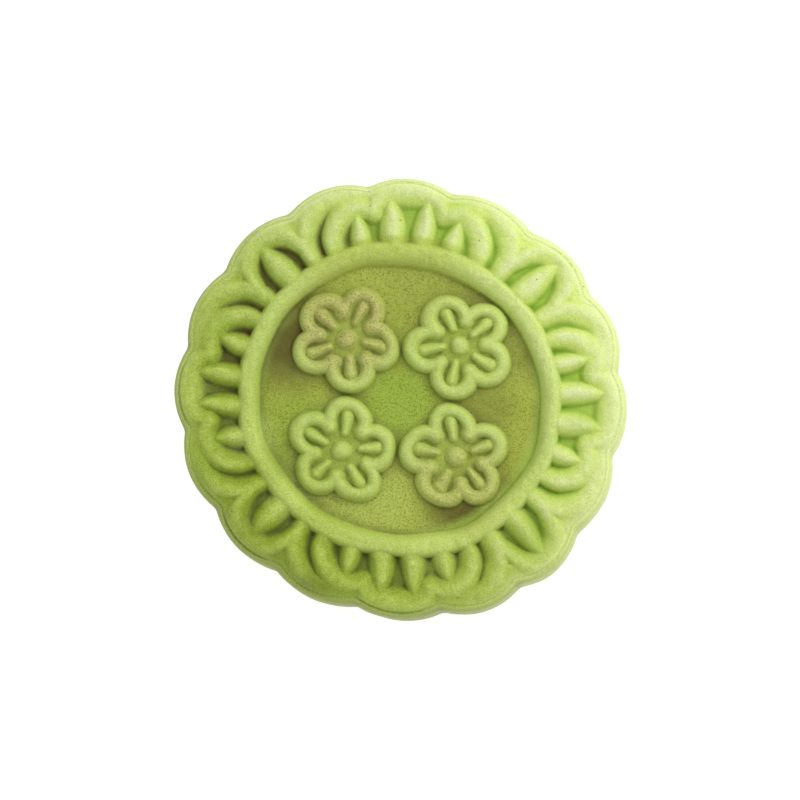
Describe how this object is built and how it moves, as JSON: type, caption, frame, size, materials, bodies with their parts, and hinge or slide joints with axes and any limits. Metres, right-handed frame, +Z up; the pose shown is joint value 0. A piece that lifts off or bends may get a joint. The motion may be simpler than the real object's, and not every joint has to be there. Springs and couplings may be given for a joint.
{
  "type": "mooncake",
  "caption": "Round pressed mooncake of soft green dough, with a fluted wall, a raised ring round a sunk panel of open blossoms, and a border of arches and leaves.",
  "frame": {"origin": "centre of the footprint, on the flat underside", "axes": "+Z up through the moulded top, +X and +Y along two of the moulded border's axes"},
  "size_m": [0.0806, 0.0784, 0.0341],
  "materials": {
    "dough": "soft steamed or unbaked dough, matte to satin, pale yellow-green on the crests and olive brown in the sunk parts"
  },
  "bodies": {
    "root": {"mooncake": "dough"}
  },
  "joints": []
}
